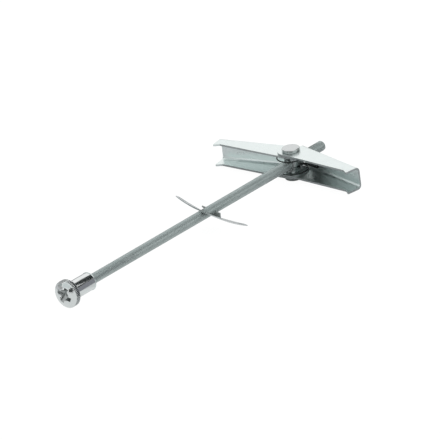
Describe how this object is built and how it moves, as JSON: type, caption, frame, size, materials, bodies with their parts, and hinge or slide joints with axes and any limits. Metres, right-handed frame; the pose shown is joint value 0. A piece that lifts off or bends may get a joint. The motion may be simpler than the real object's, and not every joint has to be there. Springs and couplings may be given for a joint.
{
  "type": "spring toggle bolt",
  "caption": "Long threaded rod with a domed knurled sleeve nut, a canted leaf clip and a sprung pair of folding channel wings, for fixing to hollow walls.",
  "frame": {"origin": "middle of the face under the head, on the rod's axis", "axes": "+X along the rod from the head to the tip, +Z along the hinge pin, +Y to the left wing"},
  "size_m": [0.155, 0.0688, 0.0126],
  "materials": {
    "plated_rod": "zinc plated, satin",
    "bright_nut": "bright plated, polished",
    "bright_leaf": "bright plated spring steel",
    "bright_pin": "bright plated, polished",
    "plated_sheet": "zinc plated sheet, semi-gloss",
    "black_wire": "black oiled spring wire"
  },
  "bodies": {
    "rod": {"threaded_rod": "plated_rod"},
    "nut": {"sleeve_nut": "bright_nut"},
    "clip": {"spring_clip": "bright_leaf"},
    "toggle": {"trunnion": "bright_pin"},
    "left_wing": {"left_wing": "plated_sheet"},
    "right_wing": {"right_wing": "plated_sheet", "torsion_spring": "black_wire"}
  },
  "joints": [
    {"name": "nut_turn", "type": "hinge", "parent": "rod", "child": "nut", "pos_m": [0.006, 0, 0], "axis": [1, 0, 0], "continuous": true},
    {"name": "clip_travel", "type": "slide", "parent": "rod", "child": "clip", "axis": [1, 0, 0], "range_m": [-0.055, 0.004]},
    {"name": "toggle_travel", "type": "slide", "parent": "rod", "child": "toggle", "axis": [1, 0, 0], "range_m": [-0.004, 0.012]},
    {"name": "left_fold", "type": "hinge", "parent": "toggle", "child": "left_wing", "pos_m": [0.1333, 0, 0], "axis": [0, 0, 1], "range_deg": [0, 77], "stiffness_Nm_per_rad": 0.012, "springref_deg": -34.38},
    {"name": "right_fold", "type": "hinge", "parent": "toggle", "child": "right_wing", "pos_m": [0.1333, 0, 0], "axis": [0, 0, -1], "range_deg": [0, 77], "stiffness_Nm_per_rad": 0.012, "springref_deg": -34.38}
  ]
}
